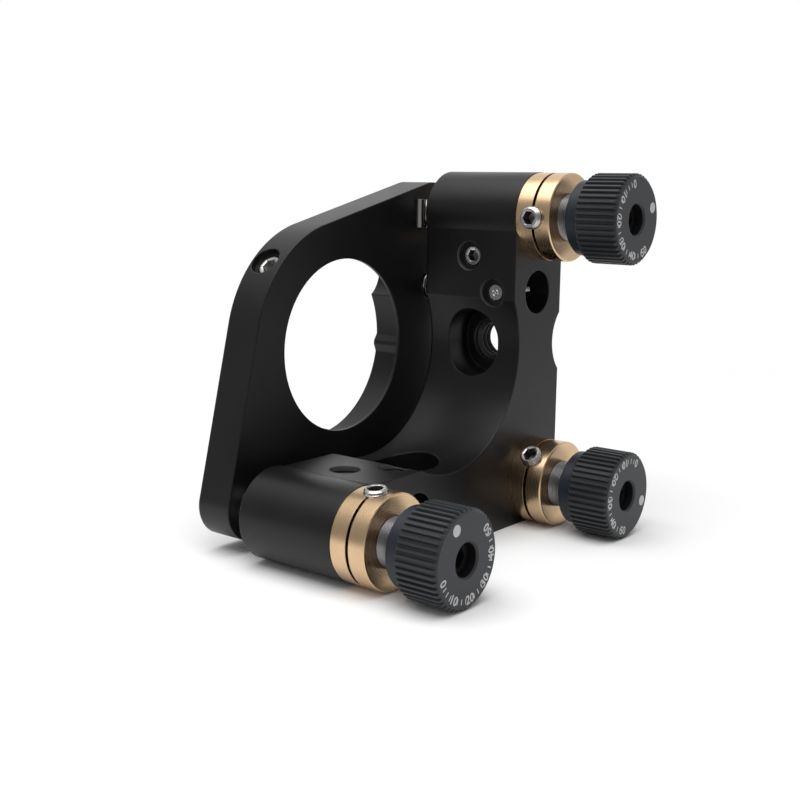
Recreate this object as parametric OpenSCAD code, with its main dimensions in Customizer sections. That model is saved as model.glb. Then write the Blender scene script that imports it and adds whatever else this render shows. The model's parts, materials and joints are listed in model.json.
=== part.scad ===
// Kinematic mirror mount: an L-shaped back plate carries three fine adjusters, which push a
// front plate on balls in a cone, a vee and a flat. Two extension springs hold it against them.
// X runs to the right seen from the knobs, Z is up and Y runs from the knobs to the mirror.

/* [Plates] */
// Width and height of the square envelope
plate_w = 49; // [46:0.5:60]
// Width of each leg of the back plate
leg_w = 11.7; // [11.4:0.1:12]
// Thickness of the back plate
back_t = 15.5; // [15:0.5:20]
// Radius round each adjuster at the back plate's corners
barrel_r = 6; // [5.9:0.1:6.5]
// Chamfer round the back plate's front face
front_chamfer = 0.5; // [0.2:0.1:0.8]
// Gap between the two plates with the plates parallel
plate_gap = 3.1; // [2.8:0.1:4]
// Thickness of the front plate
front_t = 5.5; // [5.4:0.1:8]
// Radius round each adjuster at the front plate's corners
front_corner_r = 4.45; // [4.2:0.05:5]

/* [Optic] */
// Diameter of the seat for the mirror
seat_d = 25.5; // [24:0.1:26]
// Diameter of the opening in the lip behind the mirror
lip_d = 23.7; // [20:0.1:23.9]
// Thickness of the lip behind the mirror
lip_t = 0.5; // [0.4:0.1:2]
// Radius of the front plate's round side about the mirror
front_arc_r = 17; // [16.6:0.1:18]
// Radius of the scoop in the back plate about the mirror
scoop_r = 15.05; // [14:0.05:15.4]
// Depth of the relief between the two line pads
relief_depth = 0.6; // [0.3:0.05:0.8]
// Width of each line pad's crest
pad_w = 0.5; // [0.3:0.1:1]
// Width of each line pad's foot
pad_foot_w = 2.9; // [2:0.1:4]
// Angle of each pad from the diagonal that the set screw lies on
pad_angle = 39.3; // [34:0.1:45]
// Radius of the two round pockets that leave the mirror's edge free
finger_pocket_r = 4.4; // [3:0.1:4.6]

/* [Adjusters] */
// Distance of each adjuster's axis from the two nearest edges
axis_inset = 6; // [5.9:0.1:6.2]
// Diameter of the adjuster screw's shank
shank_d = 6.3; // [5.9:0.05:6.6]
// Distance of the two lower knobs' faces from the back plate
knob_standoff = 15.355; // [14.9:0.005:17]
// How much further in the top adjuster stands than the other two
top_lead = 0.45; // [0:0.05:0.6]
// Diameter of the ball at the tip
ball_d = 5; // [4.6:0.1:5.2]
// Clearance of the ball in the screw's cup
cup_clearance = 0.2; // [0.15:0.05:0.3]
// Radial clearance of a turning or sliding fit
running_clearance = 0.05; // [0.02:0.01:0.1]
// Clearance between parts that are fitted and stay put
fitted_clearance = 0.03; // [0.02:0.01:0.05]

/* [Knobs] */
// Diameter over the knob's ribs
knob_d = 11.9; // [11:0.1:11.9]
// Number of ribs round the knob
rib_count = 46; // [30:1:48]
// Depth of the grooves between the ribs
rib_depth = 0.35; // [0.25:0.05:0.5]
// Length of the ribbed stretch with its chamfers
rib_length = 6.1; // [5:0.1:6.5]
// Length of the whole knob
knob_length = 7.9; // [7.6:0.1:8]
// Diameter of the smooth hub in front of the ribs
hub_d = 10; // [9:0.1:10.6]
// Thickness of the knob's end wall
knob_wall = 1.4; // [1:0.1:2]
// Diameter of the hole in the knob's face
key_hole_d = 4; // [3:0.1:4.6]

/* [Bushings] */
// Diameter of the split collar
collar_d = 11.9; // [11.6:0.1:12]
// Length of the split collar
collar_l = 5.15; // [4.8:0.05:5.4]
// Chamfer on the collar's outer rim
collar_chamfer = 0.15; // [0.1:0.05:0.4]
// Depth of the dish in the collar's end
dish_depth = 0.4; // [0.1:0.1:0.8]
// Diameter of the bushing's body in the plate
bushing_d = 9.5; // [9:0.1:9.6]
// Width of the slit across the collar
slit_w = 0.45; // [0.3:0.05:0.6]
// Distance of the slit from the back plate
slit_from_plate = 2.6; // [2.3:0.1:2.8]
// Angle of the collar that the slit leaves whole
hinge_angle = 90; // [60:5:120]
// Diameter of the lock screw
lock_screw_d = 2.9; // [2.5:0.1:3]
// How far the left lock screw stands out of its collar
left_lock_proud = 0.45; // [0.3:0.05:1]
// How far the corner lock screw stands out of its collar
corner_lock_proud = 0.8; // [0.3:0.05:1]
// How far the top lock screw stands out of its collar
top_lock_proud = 0.9; // [0.3:0.05:1]
// Direction of the left lock screw about its adjuster
left_lock_angle = 97; // [85:1:100]

/* [Mounting holes] */
// Major diameter of the thread
post_thread_d = 6.1; // [4:0.1:6.6]
// Width of the counterbore, across the plate's thickness
counterbore_w = 8.5; // [7:0.1:9]
// Length of the counterbore, along the leg
counterbore_l = 9.5; // [8.5:0.1:9.6]
// Distance from the outer face to the counterbore's floor
counterbore_floor = 5.7; // [5:0.1:6]
// Radius of the groove along the outer face
groove_r = 5.85; // [5:0.05:7]
// Depth of the groove along the outer face
groove_depth = 1.65; // [1:0.05:2]

/* [Springs] */
// Distance of each spring from its adjuster's axis
spring_offset = 10.4; // [10.3:0.05:10.8]
// Outer diameter of the spring
spring_d = 3.9; // [3.4:0.1:4]
// Diameter of the spring's wire
wire_d = 0.6; // [0.5:0.05:0.7]
// Distance between the spring's turns
coil_pitch = 0.95; // [0.8:0.05:1.2]
// Clearance all round the spring in its holes
spring_clearance = 0.3; // [0.25:0.05:0.35]
// Diameter of the spring hole's mouth in the rear face
spring_mouth_d = 6; // [5:0.1:6]
// Depth of the spring hole's mouth
spring_mouth_depth = 5; // [4.6:0.1:5.2]
// Diameter of the pins that the springs hook on
spring_pin_d = 1.3; // [1.1:0.1:1.4]
// Distance of the rear pin from the rear face
rear_pin_depth = 3.75; // [3.5:0.05:4]

/* [Hidden] */
$fn = 64;
past = 0.5;                     // how far a cut runs past the face that it opens
edge_break = 0.15;              // small chamfer on turned edges
tangent_inset = 0.005;          // lets a straight side cut a round one instead of only touching it

// Axes of the three adjusters, as [x, z]
near_edge = axis_inset;
far_edge = plate_w - axis_inset;
LEFT = [near_edge, near_edge];
CORNER = [far_edge, near_edge];
TOP = [far_edge, far_edge];

// The mirror's axis lies on the diagonal from the corner adjuster, a little past the middle
optic_shift = 0.8;
optic = [plate_w / 2 - optic_shift, plate_w / 2 + optic_shift];
seat_r = seat_d / 2;
lip_r = lip_d / 2;
relief_r = seat_r + relief_depth;
screw_angle = 135;              // direction of the mirror's set screw
pad_side = screw_angle + 180;   // the two pads lie either side of this direction
finger_pocket_side = 90;        // angle of each finger pocket from that direction
finger_pocket_at = seat_r + 0.55;
relief_side = 85;               // the relief ends this far from that direction, inside the pockets

// Places along Y
front_y = back_t + plate_gap;
front_face_y = front_y + front_t;
front_middle_y = front_y + front_t / 2;
mirror_face_y = front_y + lip_t;
half_y = back_t / 2;

// Balls and seats
ball_r = ball_d / 2;
seat_film = 0.05;               // room between a ball and its seat
vee_pin_r = 1;
vee_pin_l = 4;
vee_pin_sink = 0.1;             // the pins' axes lie this deep in the front plate
vee_spread = 2.7;               // distance of each pin from the middle of the vee
vee_reach = ball_r + vee_pin_r + seat_film;
top_ball_y = front_y + vee_pin_sink - sqrt(vee_reach * vee_reach - vee_spread * vee_spread);
ball_y = top_ball_y - top_lead;
reach = ball_y + knob_standoff; // from a knob's face to the centre of its screw's ball
flat_seat_d = 5;
flat_seat_t = 1.5;
flat_seat_y = ball_y + ball_r + seat_film;
cone_seat_d = 6;
cone_seat_proud = 0.65;
cone_seat_sunk = 1.9;
cone_half_angle = 60;
ball_relief_r = 1.9;            // pocket that lets the ball sink between the vee's pins
ball_relief_depth = 0.75;

// Bushings and their lock screws
bushing_r = bushing_d / 2;
bushing_l = back_t - 0.5;
collar_r = collar_d / 2;
shank_r = shank_d / 2;
shank_bore_r = shank_r + running_clearance;
lock_tip_gap = 0.25;            // room between the lock screw's tip and the shank
lock_tip_l = 0.5;
lock_tip_d = 1.9;
small_key_d = 1.73;             // hexagon across its corners
small_key_depth = 1.3;

// Adjuster screws and knobs
tip_setback = 0.3;              // the shank ends this far behind the centre of its ball
screw_key_d = 2.3;
screw_key_depth = 2.5;
knob_r = knob_d / 2;
rib_root_r = knob_r - rib_depth;
knob_chamfer = 0.5;
knob_rim_r = rib_root_r - 0.1;  // radius at the face, where the chamfer has cut the ribs away
rib_top = 0.17;                 // half widths of a rib, as shares of the step between ribs
rib_foot = 0.34;
key_hole_chamfer = 0.25;

// Set screws that wedge two of the bushings, in recesses in the legs' inner faces
recess_depth = 0.9;
recess_floor_x = plate_w - leg_w + recess_depth;
set_screw_d = 2.9;
set_screw_recess_d = 4;
set_screw_offset = 5.5;         // distance of the set screw from the adjuster's axis
set_screw_z = far_edge - set_screw_offset;
set_screw_tip_l = 0.75;
wedge_gap = 0.15;               // room between the set screw and the bushing
wedge_x = far_edge - sqrt(max(0, pow(bushing_r + wedge_gap, 2) - pow(set_screw_offset - set_screw_d / 2, 2)));
set_screw_l = wedge_x - recess_floor_x + set_screw_tip_l;

// Springs and their pins
spring_z = far_edge - spring_offset;
spring_axis = [far_edge, spring_z];
lower_spring_axis = [plate_w - spring_z, near_edge];
pin_recess_d = 3.9;
pin_head_d = 2.35;
pin_shoulder = 0.4;             // metal left between the pin's head and the spring's hole
pin_head_l = far_edge - spring_mouth_d / 2 - pin_shoulder - recess_floor_x;
pin_seat = 0.6;                 // how far a rear pin goes into the far wall
rear_pin_l = far_edge + spring_mouth_d / 2 + pin_seat - recess_floor_x;
front_pin_l = 8;
front_pin_sunk = 0.25;
front_pin_x = far_edge + front_corner_r - front_pin_sunk - front_pin_l;
front_hole_floor = 0.9;         // metal left in front of each spring's hole
wire_r = wire_d / 2;
coil_r = spring_d / 2 - wire_r;
spring_hole_d = spring_d + 2 * spring_clearance;
hook_r = 1.45;                  // radius of a hook's centre line
hook_gap = 0.03;
hook_back = hook_r - spring_pin_d / 2 - wire_r - hook_gap;
hook_y = rear_pin_depth + hook_back;
spring_ends_y = rear_pin_depth + front_middle_y;       // twice the place of the spring's middle
coil_from_y = hook_y + hook_r;
coil_to_y = spring_ends_y - coil_from_y;
coil_turns = round((coil_to_y - coil_from_y) / coil_pitch);
coil_sides = 8;
coil_steps = 12;                // points round one turn
hook_steps = 14;
hook_sweep = 240;               // how far a hook goes round its pin
bend_steps = 3;
bend_angle = 30;                // where the wire leaves the coil, as an angle round the coil
bend_l = 0.9;                   // length of that bend along the spring

// Mirror's set screw
optic_screw_d = 3.3;
optic_screw_sunk = 0.95;
optic_screw_y = mirror_face_y + 2.7;
optic_screw_gap = 0.15;
optic_recess_d = 4.2;
optic_tip_l = 0.7;
optic_tip_d = 2;
optic_key_d = 2.1;
optic_key_depth = 1.6;

// Colours
ANODISED = [0.16, 0.16, 0.17];
KNOB = [0.13, 0.13, 0.14];
STEEL = [0.74, 0.75, 0.77];
SHANK = [0.6, 0.61, 0.63];
BRONZE = [0.72, 0.56, 0.32];

// The origin lies on the base, midway between the lower knobs' faces and the front plate's face
middle_y = (front_face_y - knob_standoff) / 2;

// ---- Helpers ----

function unit(v) = v / norm(v);
function on_circle(centre, radius, angle) =
    [centre[0] + radius * cos(angle), centre[1] + radius * sin(angle)];

// Moves a part from the plates' own frame, whose origin is the lower left corner of the rear face
module in_frame() translate([-plate_w / 2, -middle_y, 0]) children();

// A flat outline drawn as [x, z] becomes a slab between two places along Y
module slab(from_y, to_y)
    translate([0, to_y, 0]) rotate([90, 0, 0]) linear_extrude(to_y - from_y) children();

// A round rod or hole along Y, and one that tapers
module rod_y(at, from_y, to_y, r)
    translate([at[0], from_y, at[1]]) rotate([-90, 0, 0]) cylinder(r = r, h = to_y - from_y);
module cone_y(at, from_y, to_y, r1, r2)
    translate([at[0], from_y, at[1]]) rotate([-90, 0, 0]) cylinder(r1 = r1, r2 = r2, h = to_y - from_y);

// A part turned about an axis along Y, from an outline of [radius, y] points
module turned(at, outline)
    translate([at[0], 0, at[1]]) rotate([-90, 0, 0]) rotate_extrude() polygon(outline);

// Turns what points up +Z to point outwards at an angle in the X-Z plane
module pointing(at, y, angle)
    translate([at[0], y, at[1]]) rotate([0, 90 - angle, 0]) children();

// Features are drawn on the upright leg, and the lower leg mirrors them
module on_lower_leg() translate([plate_w, 0, plate_w]) mirror([1, 0, 1]) children();
module on_both_legs() {
    children();
    on_lower_leg() children();
}

// A set screw that stands on its tip and has a hexagon socket in its top
module socket_screw(d, length, tip_l, tip_d, key_d, key_depth) difference() {
    rotate_extrude() polygon([[0, 0], [tip_d / 2, 0], [d / 2, tip_l], [d / 2, length - edge_break],
        [d / 2 - edge_break, length], [0, length]]);
    translate([0, 0, length - key_depth]) cylinder(d = key_d, h = key_depth + past, $fn = 6);
}

// ---- Back plate ----

// Section of a leg: its two front edges are chamfered
module leg_section(half) polygon([[-half, 0], [half, 0], [half, back_t - front_chamfer],
    [half - front_chamfer, back_t], [front_chamfer - half, back_t], [-half, back_t - front_chamfer]]);

module upright_bar()
    translate([plate_w - leg_w / 2, 0, near_edge]) linear_extrude(far_edge - near_edge)
        leg_section(leg_w / 2);

// The barrel round an adjuster has the same chamfer at its front end
module barrel(at) turned(at, [[0, 0], [barrel_r, 0], [barrel_r, back_t - front_chamfer],
    [barrel_r - front_chamfer, back_t], [0, back_t]]);

// Fills the corner between the legs, up to the scoop
module inner_corner() slab(0, back_t)
    polygon([optic, [plate_w - leg_w + front_chamfer, optic[1]],
        [plate_w - leg_w + front_chamfer, leg_w - front_chamfer], [optic[0], leg_w - front_chamfer]]);

module scoop() {
    rod_y(optic, -past, back_t + past, scoop_r);
    cone_y(optic, back_t - front_chamfer, back_t + past, scoop_r, scoop_r + front_chamfer + past);
}

// Hole for a post screw: a counterbore from inside, a thread, and a groove along the outer face
module post_hole() {
    start_x = plate_w - leg_w - past;
    floor_x = plate_w - counterbore_floor;
    end_offset = (counterbore_l - counterbore_w) / 2;
    for (side = [-1, 1]) pointing([start_x, optic[1] + side * end_offset], half_y, 0)
        cylinder(d = counterbore_w, h = floor_x - start_x);
    translate([start_x, half_y - counterbore_w / 2, optic[1] - end_offset])
        cube([floor_x - start_x, counterbore_w, 2 * end_offset]);
    pointing([floor_x - past, optic[1]], half_y, 0)
        cylinder(d = post_thread_d, h = counterbore_floor + 2 * past);
    rod_y([plate_w - groove_depth + groove_r, optic[1]], -past, back_t + past, groove_r);
}

// Hole for the screw that wedges a bushing in place
module set_screw_hole() {
    at = [recess_floor_x - recess_depth - past, set_screw_z];
    pointing(at, half_y, 0) cylinder(d = set_screw_recess_d, h = recess_depth + past);
    pointing(at, half_y, 0) cylinder(d = set_screw_d + 2 * fitted_clearance,
        h = recess_depth + past + set_screw_l + fitted_clearance);
}

// Hole for a spring, wider at its mouth, and the stepped cross hole for the pin it hooks on
module rear_spring_hole() {
    rod_y(spring_axis, -past, spring_mouth_depth, spring_mouth_d / 2);
    rod_y(spring_axis, 0, back_t + past, spring_hole_d / 2);
    pointing([recess_floor_x, spring_z], rear_pin_depth, 0) {
        translate([0, 0, -recess_depth - past]) cylinder(d = pin_recess_d, h = recess_depth + past);
        translate([0, 0, -past])
            cylinder(d = pin_head_d + 2 * fitted_clearance, h = past + pin_head_l + fitted_clearance);
        cylinder(d = spring_pin_d + 2 * fitted_clearance, h = rear_pin_l + fitted_clearance);
    }
}

module back_plate() color(ANODISED) in_frame() difference() {
    union() {
        on_both_legs() upright_bar();
        for (at = [LEFT, CORNER, TOP]) barrel(at);
        inner_corner();
    }
    scoop();
    for (at = [LEFT, CORNER, TOP]) rod_y(at, -past, back_t + past, bushing_r + fitted_clearance);
    on_both_legs() {
        post_hole();
        set_screw_hole();
        rear_spring_hole();
    }
}

// ---- Front plate ----

// Direction square to the common tangent of an end corner and the arc about the mirror
function tangent_angle(from, side) = let (d = optic - from)
    atan2(d[1], d[0]) + side * acos((front_corner_r - front_arc_r) / norm(d));

// Three round corners and the arc about the mirror, joined by their common tangents
module front_blank() {
    left_turn = tangent_angle(LEFT, 1);
    top_turn = tangent_angle(TOP, -1);
    corner_r = front_corner_r - tangent_inset;
    arc_r = front_arc_r - tangent_inset;
    slab(front_y, front_face_y) polygon([
        on_circle(LEFT, corner_r, left_turn), on_circle(optic, arc_r, left_turn),
        on_circle(optic, arc_r, top_turn), on_circle(TOP, corner_r, top_turn),
        on_circle(TOP, corner_r, 0), on_circle(CORNER, corner_r, 0),
        on_circle(CORNER, corner_r, -90), on_circle(LEFT, corner_r, -90)]);
    for (at = [LEFT, CORNER, TOP]) rod_y(at, front_y, front_face_y, front_corner_r);
    rod_y(optic, front_y, front_face_y, front_arc_r);
}

// The mirror's seat is relieved on one side, so that two line pads and the set screw hold it
// The seat is relieved except for two ridges that the set screw pushes the mirror against
module optic_seat() {
    end_y = front_face_y + past;
    flank = (pad_foot_w - pad_w) / 2 / relief_depth;
    inside_r = seat_r - pad_w / 4 / flank;
    outside_r = relief_r + past;
    rod_y(optic, front_y - past, end_y, lip_r);
    rod_y(optic, mirror_face_y, end_y, seat_r);
    difference() {
        slab(mirror_face_y, end_y) intersection() {
            translate(optic) circle(relief_r);
            polygon([optic, on_circle(optic, 2 * seat_r, pad_side - relief_side),
                on_circle(optic, 3 * seat_r, pad_side), on_circle(optic, 2 * seat_r, pad_side + relief_side)]);
        }
        for (side = [-1, 1])
            slab(mirror_face_y - past, end_y + past) translate(optic) rotate(pad_side + side * pad_angle)
                polygon([for (corner = [[inside_r, -1], [outside_r, -1], [outside_r, 1], [inside_r, 1]])
                    [corner[0], corner[1] * (pad_w / 2 + flank * (corner[0] - seat_r))]]);
    }
    for (side = [-1, 1])
        rod_y(on_circle(optic, finger_pocket_at, pad_side + side * finger_pocket_side),
            mirror_face_y, end_y, finger_pocket_r);
}

module optic_screw_hole() pointing(optic, optic_screw_y, screw_angle) {
    cylinder(d = optic_screw_d + 2 * running_clearance, h = 2 * front_arc_r);
    translate([0, 0, front_arc_r - optic_screw_sunk]) cylinder(d = optic_recess_d, h = front_arc_r);
}

// The front pin is pressed in from the plate's edge and crosses the spring's hole
module front_pin_place() pointing([front_pin_x, spring_z], front_middle_y, 0) children();

module front_spring_hole() {
    rod_y(spring_axis, front_y - past, front_face_y - front_hole_floor, spring_hole_d / 2);
    front_pin_place() translate([0, 0, -fitted_clearance])
        cylinder(d = spring_pin_d + 2 * fitted_clearance, h = front_pin_l + front_pin_sunk + past);
}

module vee_pin_place(side)
    translate([TOP[0] + side * vee_spread, front_y + vee_pin_sink, TOP[1] - vee_pin_l / 2]) children();

module seat_pockets() {
    rod_y(LEFT, front_y - past, flat_seat_y + flat_seat_t, flat_seat_d / 2 + fitted_clearance);
    rod_y(CORNER, front_y - past, front_y + cone_seat_sunk, cone_seat_d / 2 + fitted_clearance);
    rod_y(TOP, front_y - past, front_y + ball_relief_depth, ball_relief_r);
    for (side = [-1, 1]) vee_pin_place(side) translate([0, 0, -fitted_clearance])
        cylinder(r = vee_pin_r + fitted_clearance, h = vee_pin_l + 2 * fitted_clearance);
}

module front_plate() color(ANODISED) in_frame() difference() {
    front_blank();
    optic_seat();
    optic_screw_hole();
    on_both_legs() front_spring_hole();
    seat_pockets();
}

// ---- Seats and balls ----

module flat_seat() color(STEEL) in_frame()
    rod_y(LEFT, flat_seat_y, flat_seat_y + flat_seat_t, flat_seat_d / 2);

// The ball touches the cone where the cone's wall is square to the ball's radius
module cone_seat() color(STEEL) in_frame() {
    face_y = front_y - cone_seat_proud;
    apex_y = ball_y + (ball_r + seat_film) / sin(cone_half_angle);
    mouth_r = (apex_y - face_y) * tan(cone_half_angle);
    turned(CORNER, [[mouth_r, face_y], [cone_seat_d / 2, face_y], [cone_seat_d / 2, front_y + cone_seat_sunk],
        [0, front_y + cone_seat_sunk], [0, apex_y]]);
}

module vee_pin(side) color(STEEL) in_frame() vee_pin_place(side) cylinder(r = vee_pin_r, h = vee_pin_l);
module vee_pin_inner() vee_pin(-1);
module vee_pin_outer() vee_pin(1);

module contact_ball(at, y) color(STEEL) in_frame() translate([at[0], y, at[1]]) sphere(r = ball_r);
module contact_ball_left() contact_ball(LEFT, ball_y);
module contact_ball_corner() contact_ball(CORNER, ball_y);
module contact_ball_top() contact_ball(TOP, top_ball_y);

// ---- Bushings ----

// The end face of the split collar is dished towards the shank
module bushing(at, lock_angle) color(BRONZE) in_frame() difference() {
    turned(at, [[shank_bore_r, -collar_l + dish_depth], [collar_r - 2 * collar_chamfer, -collar_l],
        [collar_r - collar_chamfer, -collar_l], [collar_r, -collar_l + collar_chamfer], [collar_r, 0],
        [bushing_r, 0], [bushing_r, bushing_l], [shank_bore_r, bushing_l]]);
    // The slit leaves the side opposite the lock screw whole
    difference() {
        rod_y(at, -slit_from_plate - slit_w / 2, -slit_from_plate + slit_w / 2, collar_r + past);
        slab(-slit_from_plate - slit_w, -slit_from_plate + slit_w)
            polygon([at, for (side = [-1, 1])
                on_circle(at, 2 * collar_r, lock_angle + 180 + side * hinge_angle / 2)]);
    }
    pointing(at, -slit_from_plate, lock_angle)
        cylinder(d = lock_screw_d + 2 * running_clearance, h = 2 * collar_r);
}
module bushing_left() bushing(LEFT, left_lock_angle);
module bushing_corner() bushing(CORNER, 135);
module bushing_top() bushing(TOP, 180);

module lock_screw(at, lock_angle, proud) color(STEEL) in_frame() {
    tip_r = shank_bore_r + lock_tip_gap;
    pointing(at, -slit_from_plate, lock_angle) translate([0, 0, tip_r])
        socket_screw(lock_screw_d, collar_r + proud - tip_r, lock_tip_l, lock_tip_d,
            small_key_d, small_key_depth);
}
module lock_screw_left() lock_screw(LEFT, left_lock_angle, left_lock_proud);
module lock_screw_corner() lock_screw(CORNER, 135, corner_lock_proud);
module lock_screw_top() lock_screw(TOP, 180, top_lock_proud);

module bushing_set_screw() color(STEEL)
    pointing([recess_floor_x, set_screw_z], half_y, 0) translate([0, 0, set_screw_l]) mirror([0, 0, 1])
        socket_screw(set_screw_d, set_screw_l, set_screw_tip_l, 2 * set_screw_tip_l,
            small_key_d, small_key_depth);
module bushing_set_screw_left() in_frame() on_lower_leg() bushing_set_screw();
module bushing_set_screw_top() in_frame() bushing_set_screw();

module optic_set_screw() color(SHANK) in_frame() {
    tip_r = seat_r + optic_screw_gap;
    pointing(optic, optic_screw_y, screw_angle) translate([0, 0, tip_r])
        socket_screw(optic_screw_d, front_arc_r - optic_screw_sunk - tip_r, optic_tip_l, optic_tip_d,
            optic_key_d, optic_key_depth);
}

// ---- Adjusters ----

// The shank ends in a cup that holds the ball, and has a key socket at the knob's end
module adjuster_screw(at, tip_y) color(SHANK) in_frame() difference() {
    head_y = tip_y - reach + knob_wall + fitted_clearance;
    end_y = tip_y - tip_setback;
    turned(at, [[0, head_y], [shank_r, head_y], [shank_r, end_y - edge_break],
        [shank_r - edge_break, end_y], [0, end_y]]);
    translate([at[0], tip_y, at[1]]) sphere(r = ball_r + cup_clearance);
    translate([at[0], head_y - past, at[1]]) rotate([-90, 0, 0])
        cylinder(d = screw_key_d, h = screw_key_depth + past, $fn = 6);
}
module adjuster_screw_left() adjuster_screw(LEFT, ball_y);
module adjuster_screw_corner() adjuster_screw(CORNER, ball_y);
module adjuster_screw_top() adjuster_screw(TOP, top_ball_y);

// Ribs round the knob: each is a flat-topped tooth between sloping flanks
module rib_outline() {
    step = 360 / rib_count;
    polygon([for (i = [0:rib_count - 1])
        for (corner = [[rib_root_r, -rib_foot], [knob_r, -rib_top],
            [knob_r, rib_top], [rib_root_r, rib_foot]])
            on_circle([0, 0], corner[0], (i + corner[1]) * step)]);
}

module knob(at, tip_y) color(KNOB) in_frame() {
    face_y = tip_y - reach;
    rib_end_y = face_y + rib_length;
    hub_end_y = face_y + knob_length;
    key_hole_r = key_hole_d / 2;
    chamfer_r = knob_r + edge_break;
    difference() {
        union() {
            intersection() {
                translate([at[0], face_y, at[1]]) rotate([-90, 0, 0])
                    linear_extrude(rib_length) rib_outline();
                turned(at, [[0, face_y], [knob_rim_r, face_y], [chamfer_r, face_y + knob_chamfer],
                    [chamfer_r, rib_end_y - knob_chamfer], [knob_rim_r, rib_end_y], [0, rib_end_y]]);
            }
            turned(at, [[0, rib_end_y - past], [hub_d / 2, rib_end_y - past],
                [hub_d / 2, hub_end_y - edge_break], [hub_d / 2 - edge_break, hub_end_y], [0, hub_end_y]]);
        }
        rod_y(at, face_y - past, hub_end_y, key_hole_r);
        cone_y(at, face_y - past, face_y + key_hole_chamfer,
            key_hole_r + key_hole_chamfer + past, key_hole_r);
        rod_y(at, face_y + knob_wall, hub_end_y + past, shank_bore_r);
    }
}
module knob_left() knob(LEFT, ball_y);
module knob_corner() knob(CORNER, ball_y);
module knob_top() knob(TOP, top_ball_y);

// ---- Springs and the pins they hook on ----

module rear_spring_pin() color(STEEL) pointing([recess_floor_x, spring_z], rear_pin_depth, 0) {
    cylinder(d = pin_head_d, h = pin_head_l);
    cylinder(d = spring_pin_d, h = rear_pin_l);
}
module rear_spring_pin_left() in_frame() on_lower_leg() rear_spring_pin();
module rear_spring_pin_top() in_frame() rear_spring_pin();

module front_spring_pin() color(STEEL) front_pin_place() cylinder(d = spring_pin_d, h = front_pin_l);
module front_spring_pin_left() in_frame() on_lower_leg() front_spring_pin();
module front_spring_pin_top() in_frame() front_spring_pin();

// Centre line of the rear end: the hook from its free end round the pin, then a bend into the coil
function hook_path() = [for (i = [0:hook_steps]) let (a = hook_sweep * (i / hook_steps - 1))
    [0, hook_y + hook_r * sin(a), hook_r * cos(a)]];
function bend_path() = [for (i = [0:bend_steps - 1])
    let (a = 90 * i / bend_steps, turn = 90 + bend_angle * (1 - cos(a)))
    [coil_r * cos(turn), coil_from_y - bend_l * (1 - sin(a)), coil_r * sin(turn)]];
function coil_path() =
    let (from = 90 + bend_angle, sweep = 360 * coil_turns - 2 * bend_angle, steps = coil_turns * coil_steps)
    [for (i = [0:steps]) let (turn = from + sweep * i / steps)
        [coil_r * cos(turn), coil_from_y + (coil_to_y - coil_from_y) * i / steps, coil_r * sin(turn)]];
function rear_end() = concat(hook_path(), bend_path());
// The front end is the rear end turned half round about Z
function front_end() = let (p = rear_end())
    [for (i = [len(p) - 1:-1:0]) [-p[i][0], spring_ends_y - p[i][1], p[i][2]]];
function spring_path() = concat(rear_end(), coil_path(), front_end());

// Sweeps a round wire along a path, carrying its frame from each point to the next
function tangents(p) = [for (i = [0:len(p) - 1]) unit(p[min(i + 1, len(p) - 1)] - p[max(i - 1, 0)])];
function across(v, t) = unit(v - (v * t) * t);
function carried(t, start) = [for (i = 0, n = across(start, t[0]); i < len(t);
    n = across(n, t[min(i + 1, len(t) - 1)]), i = i + 1) n];
module wire(p, start) {
    t = tangents(p);
    n = carried(t, start);
    last = len(p) - 1;
    points = [for (i = [0:last]) for (k = [0:coil_sides - 1]) let (a = 360 * k / coil_sides)
        p[i] + wire_r * (cos(a) * n[i] + sin(a) * cross(t[i], n[i]))];
    walls = [for (i = [0:last - 1]) for (k = [0:coil_sides - 1])
        let (next = (k + 1) % coil_sides, low = i * coil_sides, high = low + coil_sides)
        each [[low + k, high + k, high + next], [low + k, high + next, low + next]]];
    polyhedron(points, concat(walls, [[for (k = [0:coil_sides - 1]) k]],
        [[for (k = [coil_sides - 1:-1:0]) last * coil_sides + k]]));
}

// The lower spring is the same spring, turned a quarter about its axis to meet its own pins
module return_spring() color(SHANK) wire(spring_path(), [1, 0, 0]);
module return_spring_left() in_frame()
    translate([lower_spring_axis[0], 0, lower_spring_axis[1]]) rotate([0, -90, 0]) return_spring();
module return_spring_top() in_frame() translate([spring_axis[0], 0, spring_axis[1]]) return_spring();

back_plate();
front_plate();
bushing_left();
bushing_corner();
bushing_top();
adjuster_screw_left();
adjuster_screw_corner();
adjuster_screw_top();
knob_left();
knob_corner();
knob_top();
lock_screw_left();
lock_screw_corner();
lock_screw_top();
contact_ball_left();
contact_ball_corner();
contact_ball_top();
flat_seat();
cone_seat();
vee_pin_inner();
vee_pin_outer();
bushing_set_screw_left();
bushing_set_screw_top();
rear_spring_pin_left();
rear_spring_pin_top();
front_spring_pin_left();
front_spring_pin_top();
return_spring_left();
return_spring_top();
optic_set_screw();
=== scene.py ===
"""Looks of a kinematic mirror mount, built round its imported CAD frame."""

import json
from math import cos, pi, radians, sin, tau

import bmesh
import bpy
from mathutils import Matrix, Vector


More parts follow.
